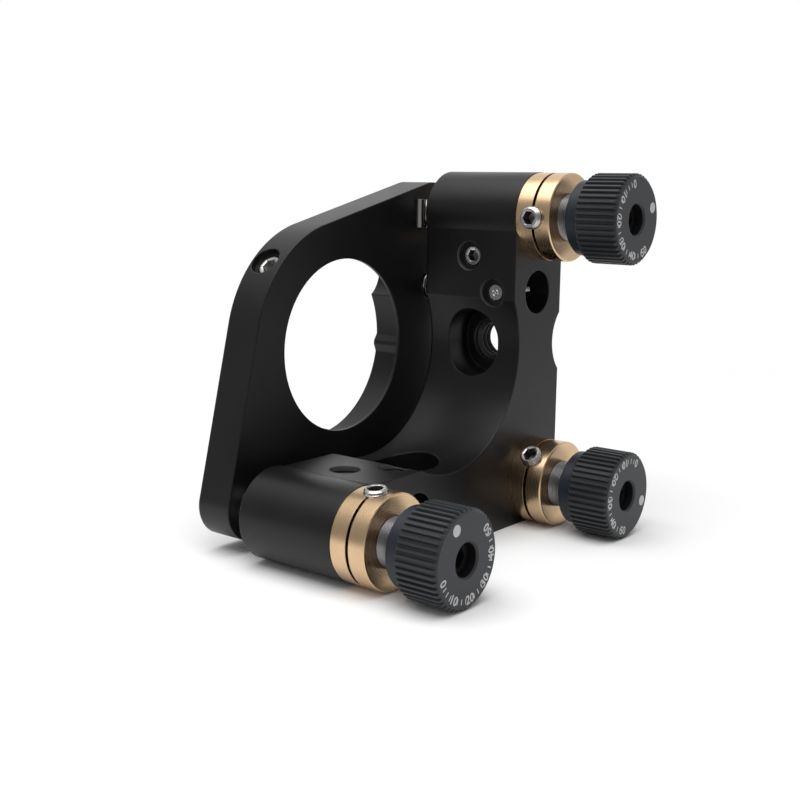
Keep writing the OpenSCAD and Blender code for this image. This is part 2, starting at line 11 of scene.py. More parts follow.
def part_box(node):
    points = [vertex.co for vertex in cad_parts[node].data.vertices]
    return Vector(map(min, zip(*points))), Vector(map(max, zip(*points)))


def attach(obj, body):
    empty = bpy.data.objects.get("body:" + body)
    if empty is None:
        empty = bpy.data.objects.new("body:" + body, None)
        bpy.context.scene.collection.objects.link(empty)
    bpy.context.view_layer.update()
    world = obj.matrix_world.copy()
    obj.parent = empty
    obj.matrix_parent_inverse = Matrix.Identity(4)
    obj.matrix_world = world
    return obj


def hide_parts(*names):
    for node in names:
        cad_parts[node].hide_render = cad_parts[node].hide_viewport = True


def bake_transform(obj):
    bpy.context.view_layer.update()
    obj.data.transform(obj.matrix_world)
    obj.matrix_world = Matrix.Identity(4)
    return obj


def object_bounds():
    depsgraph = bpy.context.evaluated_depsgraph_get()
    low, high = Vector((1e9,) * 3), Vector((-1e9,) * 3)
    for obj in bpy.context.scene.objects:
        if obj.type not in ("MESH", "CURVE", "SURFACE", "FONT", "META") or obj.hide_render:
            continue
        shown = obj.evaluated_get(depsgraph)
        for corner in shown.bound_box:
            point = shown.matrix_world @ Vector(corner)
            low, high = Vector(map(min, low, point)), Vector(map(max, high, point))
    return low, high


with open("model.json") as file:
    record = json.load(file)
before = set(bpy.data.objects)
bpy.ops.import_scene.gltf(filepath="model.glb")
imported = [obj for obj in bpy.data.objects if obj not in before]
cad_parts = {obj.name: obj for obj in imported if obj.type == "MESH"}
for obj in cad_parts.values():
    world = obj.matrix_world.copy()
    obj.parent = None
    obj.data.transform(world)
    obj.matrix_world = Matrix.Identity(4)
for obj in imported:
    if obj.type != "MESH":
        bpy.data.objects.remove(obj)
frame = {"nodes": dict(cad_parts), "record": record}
CAD_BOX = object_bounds()

bl_info = {
    "name": "Kinematic mirror mount",
    "version": (1, 0, 0),
    "blender": (4, 5, 0),
    "location": "3D View > Sidebar > Mirror Mount",
    "description": "Finishes, threads, springs, dials and a studio for a kinematic mirror mount",
    "category": "Object",
}

MM = 0.001
UP = Vector((0, 0, 1))
RIGHT = Vector((1, 0, 0))
FORWARD = Vector((0, 1, 0))

JOINTS = {joint["name"]: joint for joint in frame["record"]["behaviour"]["joints"]}
MOUNTS = {mount["name"]: mount for mount in frame["record"]["mounts"]}
ADJUSTERS = ("left", "corner", "top")
LEGS = {"left": UP, "top": -RIGHT}  # where each leg's screws and pins face

# Meshes
MERGE_DISTANCE = 0.0005 * MM
CREASE = 32  # degrees; a sharper edge stays sharp
WIRE_CREASE = 60  # the spring wire has few sides
SOCKET_CORNER = 1.1  # a lathed socket's radius over half its key's width
PAINT_BELOW = 0.05 * MM  # a socket's second material, its painted shade, starts this deep

# Recesses and sockets that a material tells apart from the rest of a piece, to paint light on
# recess walls, shade in key holes, and shade and a blue reflection on the knob hubs
SCREW_RECESS = 2.0 * MM
PIN_RECESS = 1.95 * MM
WALL_WITHIN = 0.04 * MM
WALL_OUTSIDE = 0.02 * MM
RECESS_RIM = 0.3 * MM
RIB_LENGTH = 6.1 * MM
KEY_HOLE = 2.0 * MM
KEY_HOLE_MARGIN = 0.03 * MM

# Material textures: noise scales, and the range in which noise mostly lies
NOISE_LOW, NOISE_HIGH = 0.3, 0.7
CLOUD_SCALE = 120
GRAIN_SCALE = 9000
METAL_CLOUD_SCALE = 350
SPECK_SCALE = 6000
FINE_RINGS = 9000
BRONZE_RINGS = 16000
POLISH_RINGS = 500
BUMP_STRENGTH = 0.4
BEVEL_SAMPLES = 6

# Screws and pins
SHANK_KEY = 2.5 * MM
SHANK_SOCKET_DEPTH = 2.5 * MM
SHANK_DRILL_DEPTH = 3.2 * MM
# the shank's socket end is painted near-black down to this depth, as painted shade
SHANK_PAINT_DEPTH = 2.6 * MM
SHANK_CHAMFER = 0.25 * MM
BALL_CLEARANCE = 0.2 * MM
SCREW_CHAMFER = 0.2 * MM
SCREW_TIP = 0.7 * MM
LOCK_SCREW = (2.9 * MM, 1.7 * MM, 1.6 * MM)  # width, key width, key depth
OPTIC_SCREW = (3.3 * MM, 1.85 * MM, 1.4 * MM)
BUSHING_SCREW = (2.9 * MM, 1.5 * MM, 1.3 * MM)
PIN_SHANK = 0.65 * MM
PIN_THREAD_DEPTH = 0.12 * MM
PIN_THREAD_PITCH = 0.35 * MM
PIN_CHAMFER = 0.12 * MM
PIN_HEAD_OVER = 0.8 * MM  # a pin's head is what lies further than this from its axis
PIN_DIMPLE = ((0, -0.16 * MM), (0.18 * MM, -0.02 * MM), (0.32 * MM, -0.02 * MM),
              (0.42 * MM, -0.1 * MM), (0.52 * MM, 0))

# Return springs: each is cut into three parts, each part listed with one of the front plate's three
# tilts
HOOK_LENGTH = 3.3 * MM
SPRING_PARTS = (("rear", "tilt_left"), ("middle", "tilt_top"), ("front", "tilt_corner"))

# Post holes
POST_THREAD_LENGTH = 3.9 * MM
POST_THREAD_STEPS = 40  # a turn
POST_THREAD_FOOT, POST_THREAD_CREST = 0.42, 0.06  # half widths as shares of the pitch

# Dials
SCALE_MARKS = 21
FIGURE_EVERY = 4
SCALE_END = 50
TICK_WIDTH = 0.15 * MM
TICK_HEIGHT = 0.62  # over the figures' height
FONT_SIZE = 1.38  # over the figures' height
STROKE_OFFSET = 0.03 * MM

# Stage
FLOOR_RADIUS = 0.6
FLOOR_DROP = 0.02 * MM
FLOOR_FADE = (0.06, 0.2)  # where the floor starts to fade and where it has gone
BACKDROP = Vector((0.72, 0.62, 0.15)).normalized()  # the side from which white is mirrored
BACKDROP_LEVELS = (0.32, 1)  # how bright it is away from that side and towards it
BACKDROP_RANGE = (-0.1, 0.95)  # the cosines to that side between which it rises
LAMP_TARGET = Vector((0, 0, 25 * MM))
LAMPS = (  # name, place, width, depth, power
    ("overhead", (-0.13, 0.0, 0.5), 0.66, 0.5, 2.8),
    ("right", (0.5, -0.4, 0.08), 0.4, 0.4, 0.1),
)
SENSOR_WIDTH = 36
CLIP_START = 5 * MM


# ---------------------------------------------------------------------------
# Settings
# ---------------------------------------------------------------------------

def colour(name, description, default):
    """A colour setting."""
    return bpy.props.FloatVectorProperty(name=name, description=description, subtype="COLOR",
                                         size=3, min=0, max=1, default=default)


def length(name, description, default, low, high):
    """A length setting given in millimetres."""
    return bpy.props.FloatProperty(name=name, description=description, unit="LENGTH",
                                   precision=5, min=low * MM, max=high * MM,
                                   default=default * MM)


def share(name, description, default):
    """A setting from nothing to one."""
    return bpy.props.FloatProperty(name=name, description=description, subtype="FACTOR",
                                   min=0, max=1, default=default)


def angle(name, description, default):
    """An angle setting given in degrees."""
    return bpy.props.FloatProperty(name=name, description=description, subtype="ANGLE",
                                   default=radians(default))


class MirrorMountFinishes(bpy.types.PropertyGroup):
    """Colours and roughnesses of the mount's finishes"""

    plates: colour("Anodised plates", "Colour of the two plates", (0.0048, 0.0048, 0.0055))
    plate_roughness: share("Plate roughness", "Roughness of the plates' blasted surface", 0.36)
    knobs: colour("Anodised knobs", "Colour of the ribbed knobs", (0.0255, 0.0272, 0.0307))
    knob_roughness: share("Knob roughness", "Roughness of the knobs' surface", 0.42)
    # Painted shade and a painted blue reflection: the darker, bluer colour of the knob hub behind
    # the ribs
    hubs: colour("Painted shade and reflection on knob hubs", "Colour of the smooth hubs behind the ribs",
                 (0.012, 0.0165, 0.024))
    # Painted shade: the near-black of the knobs' key holes and the shanks' socket ends
    black: colour("Painted shade in sockets", "Colour of the knobs' key holes and the shanks' sockets",
                  (0.006, 0.006, 0.0065))
    # Painted light: the lighter colour of the recess walls near their open end, for the light those
    # walls catch
    milled: colour("Painted light in recesses", "Colour of the recesses' milled walls",
                   (0.065, 0.064, 0.064))
    bronze: colour("Bronze", "Colour of the split bushings", (0.69, 0.49, 0.30))
    bronze_roughness: share("Bronze roughness", "Roughness of the turned bronze", 0.25)
    steel: colour("Bright steel", "Colour of the small screws, pins, springs, balls and seats",
                  (0.52, 0.51, 0.50))
    shank: colour("Shank steel", "Colour of the fine adjuster screws", (0.27, 0.27, 0.285))
    paint: colour("Dial paint", "Colour of the dot, ticks and figures on the knobs",
                  (0.46, 0.46, 0.46))


class MirrorMountThreads(bpy.types.PropertyGroup):
    """Screw threads that are too fine for the construction model"""

    shank_pitch: length("Shank pitch", "Distance between the adjusters' thread turns",
                        0.254, 0.1, 1)
    shank_depth: length("Shank thread depth", "Depth of the adjusters' thread", 0.09, 0.01, 0.3)
    screw_pitch: length("Set screw pitch", "Distance between the set screws' thread turns",
                        0.5, 0.2, 1)
    screw_depth: length("Set screw thread depth", "Depth of the set screws' thread",
                        0.18, 0.05, 0.4)
    post_pitch: length("Post hole pitch", "Distance between the turns in the post holes", 1, 0.5, 2)
    post_depth: length("Post thread depth", "Depth of the thread in the post holes",
                       0.62, 0.1, 1)


class MirrorMountDial(bpy.types.PropertyGroup):
    """Dot and plain scale on the knobs' faces"""

    dot_radius: length("Dot radius", "Radius of the white index dot", 0.7, 0.3, 1.5)
    dot_place: length("Dot place", "Distance of the dot from the knob's axis", 4.4, 3, 5.2)
    dot_left: angle("Left dot", "Where the dot of the left knob is", 118)
    dot_corner: angle("Corner dot", "Where the dot of the corner knob is", -19)
    dot_top: angle("Top dot", "Where the dot of the top knob is", 20)
    figure_height: length("Figure height", "Height of the scale's figures", 1.1, 0.4, 2)
    figure_place: length("Figure place", "Distance of the figures' middle from the knob's axis",
                         4.75, 3, 5.2)
    sweep: angle("Scale sweep", "Angle that the scale covers", 196)
    paint_depth: length("Paint depth", "How far the paint stands on the face", 0.012, 0.005, 0.1)


class MirrorMountStage(bpy.types.PropertyGroup):
    """Floor, lamps and camera"""

    azimuth: angle("Camera azimuth", "Turn of the camera about the upright axis", -51.179)
    elevation: angle("Camera elevation", "Angle of the camera's view below the horizon", 10.403)
    roll: angle("Camera roll", "Turn of the camera about its own axis", 0.644)
    place: bpy.props.FloatVectorProperty(
        name="Camera place", description="Where the camera stands", subtype="TRANSLATION",
        unit="LENGTH", size=3, precision=5, default=(-123.97 * MM, -94.69 * MM, 47.88 * MM))
    lens: bpy.props.FloatProperty(
        name="Lens", description="Focal length on a 36 mm sensor, in millimetres",
        min=20, max=200, default=54.185)
    floor: colour("Floor", "Colour of the floor", (0.9, 0.9, 0.9))
    fill: share("Fill", "Level of the light from all round", 0.54)


# ---------------------------------------------------------------------------
# Materials
# ---------------------------------------------------------------------------

def new_material(name):
    """A material with one shader, its node tree and that shader."""
    material = bpy.data.materials.new(name)
    material.use_nodes = True
    tree = material.node_tree
    return material, tree, tree.nodes["Principled BSDF"]


def object_coordinates(tree):
    """Where a point lies on its piece."""
    return tree.nodes.new("ShaderNodeTexCoord").outputs["Object"]


def noise(tree, vector, scale, detail, roughness=0.55):
    """Fractal noise on a vector."""
    texture = tree.nodes.new("ShaderNodeTexNoise")
    texture.inputs["Scale"].default_value = scale
    texture.inputs["Detail"].default_value = detail
    texture.inputs["Roughness"].default_value = roughness
    tree.links.new(vector, texture.inputs["Vector"])
    return texture.outputs["Fac"]


def rings(tree, value, scale):
    """Noise along one value, as a cutting tool leaves it."""
    texture = tree.nodes.new("ShaderNodeTexNoise")
    texture.noise_dimensions = "1D"
    texture.inputs["Scale"].default_value = scale
    texture.inputs["Detail"].default_value = 3
    tree.links.new(value, texture.inputs["W"])
    return texture.outputs["Fac"]


def remap(tree, value, low, high, from_low=NOISE_LOW, from_high=NOISE_HIGH):
    """A value moved from one range to another."""
    node = tree.nodes.new("ShaderNodeMapRange")
    node.inputs["From Min"].default_value = from_low
    node.inputs["From Max"].default_value = from_high
    node.inputs["To Min"].default_value = low
    node.inputs["To Max"].default_value = high
    tree.links.new(value, node.inputs["Value"])
    return node.outputs["Result"]


def maths(tree, operation, first, second=None):
    """One sum on one or two values."""
    node = tree.nodes.new("ShaderNodeMath")
    node.operation = operation
    for socket, value in zip(node.inputs, (first, second)):
        if isinstance(value, bpy.types.NodeSocket):
            tree.links.new(value, socket)
        elif value is not None:
            socket.default_value = value
    return node.outputs["Value"]


def overlay(tree, under, over, mask):
    """Lays a colour over another where a mask is one."""
    mix = tree.nodes.new("ShaderNodeMix")
    mix.data_type = "RGBA"
    tree.links.new(mask, mix.inputs["Factor"])
    tree.links.new(under, mix.inputs[6])
    mix.inputs[7].default_value = (*over, 1)
    return mix.outputs[2]


def coordinate(tree, vector, direction):
    """How far a point lies along a direction."""
    node = tree.nodes.new("ShaderNodeVectorMath")
    node.operation = "DOT_PRODUCT"
    node.inputs[1].default_value = direction
    tree.links.new(vector, node.inputs[0])
    return node.outputs["Value"]


def axis_distance(tree, vector, centre, axis):
    """How far a point lies from a line along X, Y or Z."""
    shifted = tree.nodes.new("ShaderNodeVectorMath")
    shifted.operation = "SUBTRACT"
    shifted.inputs[1].default_value = centre
    flat = tree.nodes.new("ShaderNodeVectorMath")
    flat.operation = "MULTIPLY"
    flat.inputs[1].default_value = [1 - abs(part) for part in axis]
    reach = tree.nodes.new("ShaderNodeVectorMath")
    reach.operation = "LENGTH"
    tree.links.new(vector, shifted.inputs[0])
    tree.links.new(shifted.outputs["Vector"], flat.inputs[0])
    tree.links.new(flat.outputs["Vector"], reach.inputs[0])
    return reach.outputs["Value"]


def beyond(tree, value, limit):
    """One where a value is past a limit, nothing before it."""
    return maths(tree, "GREATER_THAN", value, limit)


def tint(tree, shader, value, dark, light):
    """Base colour that runs from dark to light with a value."""
    ramp = tree.nodes.new("ShaderNodeValToRGB")
    for stop, position, base in zip(ramp.color_ramp.elements, (NOISE_LOW, NOISE_HIGH),
                                    (dark, light)):
        stop.position = position
        stop.color = (*base, 1)
    tree.links.new(value, ramp.inputs["Fac"])
    tree.links.new(ramp.outputs["Color"], shader.inputs["Base Color"])


def bump(tree, shader, height, distance, edge_radius=0.0):
    """Bump from a height, over edges that may be rounded by a small radius."""
    node = tree.nodes.new("ShaderNodeBump")
    node.inputs["Distance"].default_value = distance
    node.inputs["Strength"].default_value = BUMP_STRENGTH
    tree.links.new(height, node.inputs["Height"])
    if edge_radius:
        bevel = tree.nodes.new("ShaderNodeBevel")
        bevel.samples = BEVEL_SAMPLES
        bevel.inputs["Radius"].default_value = edge_radius
        tree.links.new(bevel.outputs["Normal"], node.inputs["Normal"])
    tree.links.new(node.outputs["Normal"], shader.inputs["Normal"])


def shaded(base, factor):
    """A colour made lighter or darker."""
    return tuple(min(1.0, part * factor) for part in base)


def anodised_material(name, base, roughness, edge_radius):
    """Blasted and black anodised: an even satin with a faint cloudiness."""
    material, tree, shader = new_material(name)
    vector = object_coordinates(tree)
    cloud = noise(tree, vector, CLOUD_SCALE, 3)
    grain = noise(tree, vector, GRAIN_SCALE, 2, 0.6)
    tint(tree, shader, cloud, shaded(base, 0.85), shaded(base, 1.18))
    tree.links.new(remap(tree, cloud, roughness - 0.03, roughness + 0.04),
                   shader.inputs["Roughness"])
    shader.inputs["Specular IOR Level"].default_value = 0.29
    bump(tree, shader, grain, 0.01 * MM, edge_radius)
    return material


def reopen(material):
    """A finished material's node tree, its shader and the socket that colours it."""
    tree = material.node_tree
    shader = tree.nodes["Principled BSDF"]
    return tree, shader, shader.inputs["Base Color"].links[0].from_socket


def plate_material(look):
    """Black anodised plate with painted light, a lighter colour, on the walls of the recesses of
    its screws and pins.
    """
    material = anodised_material("Black anodised plate", look.plates, look.plate_roughness,
                                 0.28 * MM)
    tree, shader, finish = reopen(material)
    vector = object_coordinates(tree)
    # The walls near each recess's open end get a lighter colour: painted light, standing in for the
    # light these walls catch.
    for node, radius in (("bushing_set_screw_", SCREW_RECESS), ("rear_spring_pin_", PIN_RECESS)):
        for leg, outward in LEGS.items():
            distance = axis_distance(tree, vector, middle(node + leg), outward)
            rim = reach_along("rear_spring_pin_" + leg, outward)[1] + RECESS_RIM
            wall = maths(tree, "MULTIPLY", beyond(tree, distance, radius - WALL_WITHIN),
                         maths(tree, "LESS_THAN", distance, radius + WALL_OUTSIDE))
            open_end = beyond(tree, coordinate(tree, vector, outward), rim)
            finish = overlay(tree, finish, look.milled, maths(tree, "MULTIPLY", wall, open_end))
    tree.links.new(finish, shader.inputs["Base Color"])
    return material


def knob_material(name, look):
    """Black anodised knob; the hub behind its ribs is darker and bluer, a painted shade and painted
    blue reflection, and its key hole is near-black, a painted shade.
    """
    material = anodised_material("Black anodised knob " + name, look.knobs,
                                 look.knob_roughness, 0.04 * MM)
    tree, shader, finish = reopen(material)
    vector = object_coordinates(tree)
    axis = knob_axis(name)
    # The hub behind the ribs is painted darker and bluer, as shade and a blue reflection; the key
    # hole is painted near-black, as shade.
    hub = beyond(tree, coordinate(tree, vector, FORWARD), axis.y + RIB_LENGTH)
    hole = maths(tree, "LESS_THAN", axis_distance(tree, vector, axis, FORWARD),
                 KEY_HOLE + KEY_HOLE_MARGIN)
    finish = overlay(tree, finish, look.hubs, hub)
    finish = overlay(tree, finish, look.black, hole)
    tree.links.new(finish, shader.inputs["Base Color"])
    return material


def turned_material(name, base, roughness, ring_scale, edge_radius=0.05 * MM, centres=()):
    """Turned metal: fine rings along Y, and round each centre on the faces across Y."""
    material, tree, shader = new_material(name)
    vector = object_coordinates(tree)
    split = tree.nodes.new("ShaderNodeSeparateXYZ")
    tree.links.new(vector, split.inputs["Vector"])
    place = split.outputs["Y"]
    for centre in centres:
        place = maths(tree, "ADD", place, axis_distance(tree, vector, centre, FORWARD))
    turns = rings(tree, place, ring_scale)
    cloud = noise(tree, vector, METAL_CLOUD_SCALE, 3)
    tint(tree, shader, cloud, shaded(base, 0.93), shaded(base, 1.05))
    shader.inputs["Metallic"].default_value = 1
    tree.links.new(remap(tree, turns, roughness - 0.02, roughness + 0.03),
                   shader.inputs["Roughness"])
    bump(tree, shader, turns, 0.0004 * MM, edge_radius)
    if centres:
        tangent = tree.nodes.new("ShaderNodeTangent")
        tangent.direction_type = "RADIAL"
        tangent.axis = "Y"
        shader.inputs["Anisotropic"].default_value = 0.45
        tree.links.new(tangent.outputs["Tangent"], shader.inputs["Tangent"])
    return material


def paint_material(name, base):
    """Matt printed paint."""
    material, tree, shader = new_material(name)
    vector = object_coordinates(tree)
    speck = noise(tree, vector, SPECK_SCALE, 2)
    tint(tree, shader, speck, shaded(base, 0.93), shaded(base, 1.03))
    shader.inputs["Roughness"].default_value = 0.6
    bump(tree, shader, speck, 0.003 * MM)
    return material


def give(material, *nodes):
    """Puts a material on CAD nodes."""
    for node in nodes:
        materials = frame["nodes"][node].data.materials
        materials.clear()
        materials.append(material)


# ---------------------------------------------------------------------------
# Mesh helpers
# ---------------------------------------------------------------------------

def corners(node):
    """Lowest and highest corner of a CAD node's box."""
    low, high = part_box(node)
    return Vector(low), Vector(high)


def middle(node):
    """Centre of a CAD node's box."""
    low, high = corners(node)
    return (low + high) / 2


def reach_along(node, direction):
    """Least and greatest distance of a CAD node along a direction."""
    distances = [direction.dot(vertex.co) for vertex in frame["nodes"][node].data.vertices]
    return min(distances), max(distances)


def outer_end(node, outward):
    """The point of a CAD node's middle line that lies furthest outward."""
    centre = middle(node)
    return centre + outward * (reach_along(node, outward)[1] - outward.dot(centre))


def knob_axis(name):
    """Centre of a knob's face."""
    centre = middle("knob_" + name)
    return Vector((centre.x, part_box("knob_" + name)[0][1], centre.z))


def blacken(shape, radius):
    """Gives the faces inside a key socket along Y the piece's second material, a darker colour that
    paints the shade inside the socket.
    """
    for face in shape.faces:
        centre = face.calc_center_median()
        if Vector((centre.x, centre.z)).length < radius and centre.y < -PAINT_BELOW:
            face.material_index = 1


def finish_piece(name, shape, materials, body, replaced=(),
                 crease=CREASE):
    """Turns a bmesh into a named piece that rides on a body, or on nothing when no body is given.
    """
    bmesh.ops.remove_doubles(shape, verts=shape.verts, dist=MERGE_DISTANCE)
    bmesh.ops.recalc_face_normals(shape, faces=shape.faces)
    for face in shape.faces:
        face.smooth = True
    mesh = bpy.data.meshes.new(name)
    shape.to_mesh(mesh)
    shape.free()
    mesh.set_sharp_from_angle(angle=radians(crease))
    for material in materials:
        mesh.materials.append(material)
    piece = bpy.data.objects.new(name, mesh)
    bpy.context.scene.collection.objects.link(piece)
    if body:
        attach(piece, body)
    if replaced:
        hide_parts(*replaced)
    return piece


def keep_beyond(shape, place, direction):
    """Cuts a bmesh at a place, keeps what lies along the direction and closes the cut."""
    parts = shape.verts[:] + shape.edges[:] + shape.faces[:]
    cut = bmesh.ops.bisect_plane(shape, geom=parts, plane_co=place, plane_no=direction,
                                 clear_inner=True)
    rim = [item for item in cut["geom_cut"] if isinstance(item, bmesh.types.BMEdge)]
    bmesh.ops.holes_fill(shape, edges=rim, sides=0)


def lathe(outline, steps=48):
    """A bmesh turned about Y from points given as a radius and a distance along Y."""
    shape = bmesh.new()
    verts = [shape.verts.new((radius, along, 0)) for radius, along in outline]
    edges = [shape.edges.new(pair) for pair in zip(verts, verts[1:])]
    bmesh.ops.spin(shape, geom=verts + edges, cent=(0, 0, 0), axis=FORWARD, angle=tau,
                   steps=steps, use_merge=True)
    bmesh.ops.remove_doubles(shape, verts=shape.verts, dist=MERGE_DISTANCE)
    return shape


def put(shape, place, direction=FORWARD):
    """Turns a bmesh from Y to a direction and moves its origin to a place."""
    turn = FORWARD.rotation_difference(direction).to_matrix().to_4x4()
    bmesh.ops.transform(shape, matrix=Matrix.Translation(place) @ turn, verts=shape.verts)
    return shape


def thread_outline(radius, depth, pitch, start, end):
    """Outline points of a thread's crests and roots from start to end."""
    turns = max(1, round(abs(end - start) / pitch))
    step = (end - start) / turns
    return [point for turn in range(turns) for point in (
        (radius, start + (turn + 0.1) * step),
        (radius - depth, start + (turn + 0.5) * step),
        (radius, start + (turn + 0.9) * step))]


def socket_radius(key):
    """Radius of a lathed socket before it is drawn in to a hexagon."""
    return key / 2 * SOCKET_CORNER


def make_hexagon(shape, radius, across):
    """Draws the ring of points at one radius in to a hexagon."""
    for vert in shape.verts:
        turn = Vector((vert.co.x, vert.co.z))
        if abs(turn.length - radius) < 0.001 * MM:
            side = pi / 3
            bearing = (turn.angle_signed(Vector((1, 0))) % side) - side / 2
            turn *= across / 2 / cos(bearing) / radius
            vert.co.x, vert.co.z = turn


def set_screw(radius, reach, key, key_depth, pitch, depth):
    """A socket set screw along Y: its socket end at zero, its tip at minus its reach."""
    key_radius, tip_radius = socket_radius(key), radius / 2
    drill_point, lead_in, countersink = key / 5, 0.06 * MM, 0.08 * MM
    outline = [(0, -key_depth - drill_point), (key_radius, -key_depth), (key_radius, -lead_in),
               (key_radius + countersink, 0), (radius - SCREW_CHAMFER, 0),
               (radius, -SCREW_CHAMFER)]
    outline += thread_outline(radius, depth, pitch, -SCREW_CHAMFER, -reach + SCREW_TIP)
    outline += [(radius - depth, -reach + SCREW_TIP), (tip_radius, -reach + SCREW_TIP / 2),
                (tip_radius, -reach), (0, -reach)]
    shape = lathe(outline)
    make_hexagon(shape, key_radius, key)
    blacken(shape, key_radius)
    return shape


# ---------------------------------------------------------------------------
# Operators
# ---------------------------------------------------------------------------

class MIRRORMOUNT_OT_finishes(bpy.types.Operator):
    """Gives every CAD node its finish"""

    bl_idname = "mirror_mount.finishes"
    bl_label = "Finishes"

    def execute(self, context):
        look = context.scene.mirror_mount_finishes
        give(plate_material(look), "back_plate", "front_plate")
        for name in ADJUSTERS:
            give(knob_material(name, look), "knob_" + name)
            node = "bushing_" + name
            give(turned_material("Turned bronze " + name, look.bronze, look.bronze_roughness,
                                 BRONZE_RINGS, centres=(middle(node),)), node)
        give(turned_material("Pin steel", look.steel, 0.3, FINE_RINGS),
             *("front_spring_pin_" + leg for leg in LEGS))
        give(turned_material("Polished steel", shaded(look.steel, 0.9), 0.16, POLISH_RINGS,
                             0.03 * MM),
             *("contact_ball_" + name for name in ADJUSTERS),
             "flat_seat", "cone_seat", "vee_pin_inner", "vee_pin_outer")
        return {"FINISHED"}


class MIRRORMOUNT_OT_adjusters(bpy.types.Operator):
    """Cuts the fine thread on the three adjuster screws"""

    bl_idname = "mirror_mount.adjusters"
    bl_label = "Adjuster Threads"

    def execute(self, context):
        look = context.scene.mirror_mount_finishes
        thread = context.scene.mirror_mount_threads
        steel = turned_material("Threaded shank steel", look.shank, 0.33, FINE_RINGS, 0.02 * MM)
        black = anodised_material("Blackened shank end", look.black, 0.6, 0.02 * MM)
        for name in ADJUSTERS:
            node = "adjuster_screw_" + name
            ball = middle("contact_ball_" + name)
            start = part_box(node)[0][1]
            shape = lathe(self.outline(node, ball, corners("contact_ball_" + name)[0].y, thread))
            make_hexagon(shape, socket_radius(SHANK_KEY), SHANK_KEY)
            # The socket end is painted near-black, as the shade inside the knob's key hole.
            for face in shape.faces:
                if face.calc_center_median().y < start + SHANK_PAINT_DEPTH + SHANK_KEY / 2:
                    face.material_index = 1
            put(shape, Vector((ball.x, 0, ball.z)))
            finish_piece("threaded_shank_" + name, shape, (steel, black), "screw_" + name,
                         (node,))
        return {"FINISHED"}

    def outline(self, node, ball, ball_low, thread):
        """A shank from its key socket, over its thread, to the cup round its ball."""
        low, high = corners(node)
        radius, start, end = (high.x - low.x) / 2, low.y, high.y
        key_radius = socket_radius(SHANK_KEY)
        cup = ball.y - ball_low + BALL_CLEARANCE
        lip = (cup ** 2 - (end - ball.y) ** 2) ** 0.5
        socket = [(0, start + SHANK_DRILL_DEPTH), (key_radius, start + SHANK_SOCKET_DEPTH),
                  (key_radius, start)]
        crests = thread_outline(radius, thread.shank_depth, thread.shank_pitch,
                                start + SHANK_CHAMFER, end - SHANK_CHAMFER)
        turns = [radians(15 * step) for step in range(1, 6)]
        hollow = [(cup * cos(turn), ball.y - cup * sin(turn)) for turn in turns]
        return [*socket, (radius - SHANK_CHAMFER, start), (radius, start + SHANK_CHAMFER),
                *crests, (radius, end - SHANK_CHAMFER), (radius - SHANK_CHAMFER, end), (lip, end),
                *hollow, (0, ball.y - cup)]


class MIRRORMOUNT_OT_set_screws(bpy.types.Operator):
    """Makes the socket set screws and the spring pins with their threads"""

    bl_idname = "mirror_mount.set_screws"
    bl_label = "Set Screws and Pins"

    def execute(self, context):
        look = context.scene.mirror_mount_finishes
        thread = context.scene.mirror_mount_threads
        # The lock and bushing screws' sockets get a darker colour, a painted shade inside them; the
        # optic screw's socket stays near its steel colour.
        socket_shade = turned_material("Oiled socket", shaded(look.steel, 0.3), 0.45, FINE_RINGS,
                                0.02 * MM)
        steel = turned_material("Bright steel", look.steel, 0.27, FINE_RINGS, 0.03 * MM)
        bare = turned_material("Bare socket", shaded(look.steel, 0.9), 0.4, FINE_RINGS, 0.02 * MM)
        for name in ADJUSTERS:
            outward = Vector(JOINTS["lock_turn_" + name]["axis"])
            self.make_screw("lock_screw_" + name, outward, LOCK_SCREW, (steel, socket_shade), thread,
                            "lock_" + name, "screw_steel")
        inward = Vector(JOINTS["optic_screw_travel"]["axis"])
        self.make_screw("optic_set_screw", -inward, OPTIC_SCREW, (steel, bare), thread,
                        "optic_screw", "dark_steel")
        for leg, outward in LEGS.items():
            self.make_screw("bushing_set_screw_" + leg, outward, BUSHING_SCREW, (steel, socket_shade),
                            thread, "root", "screw_steel")
            self.make_pin("rear_spring_pin_" + leg, outward, (steel, socket_shade))
        return {"FINISHED"}

    def make_screw(self, node, outward, sizes, materials, thread, body, slot):
        """One set screw in the place of its CAD node."""
        inner, outer = reach_along(node, outward)
        width, key, key_depth = sizes
        shape = set_screw(width / 2, outer - inner, key, key_depth, thread.screw_pitch,
                          thread.screw_depth)
        put(shape, outer_end(node, outward), outward)
        finish_piece(node.replace("screw", "screw_thread"), shape, materials, body, (node,))

    def make_pin(self, node, outward, materials):
        """A pin with a centred, broad head and a threaded shank."""
        inner, outer = reach_along(node, outward)
        low, high = corners(node)
        head = (high.y - low.y) / 2
        head_end = self.head_length(node, outward, outer)
        outline = [*PIN_DIMPLE, (head - PIN_CHAMFER, 0), (head, -PIN_CHAMFER), (head, -head_end)]
        outline += thread_outline(PIN_SHANK, PIN_THREAD_DEPTH, PIN_THREAD_PITCH,
                                  -head_end - 0.02 * MM, inner - outer)
        outline += [(0, inner - outer)]
        shape = put(lathe(outline, 32), outer_end(node, outward), outward)
        finish_piece(node.replace("pin", "pin_thread"), shape, materials, "root",
                     (node,))

    def head_length(self, node, outward, outer):
        """Length of a pin's head, read from its CAD node."""
        centre = middle(node)
        head = [vertex.co for vertex in frame["nodes"][node].data.vertices
                if (vertex.co - centre - outward * outward.dot(vertex.co - centre)).length
                > PIN_HEAD_OVER]
        return outer - min(outward.dot(point) for point in head)


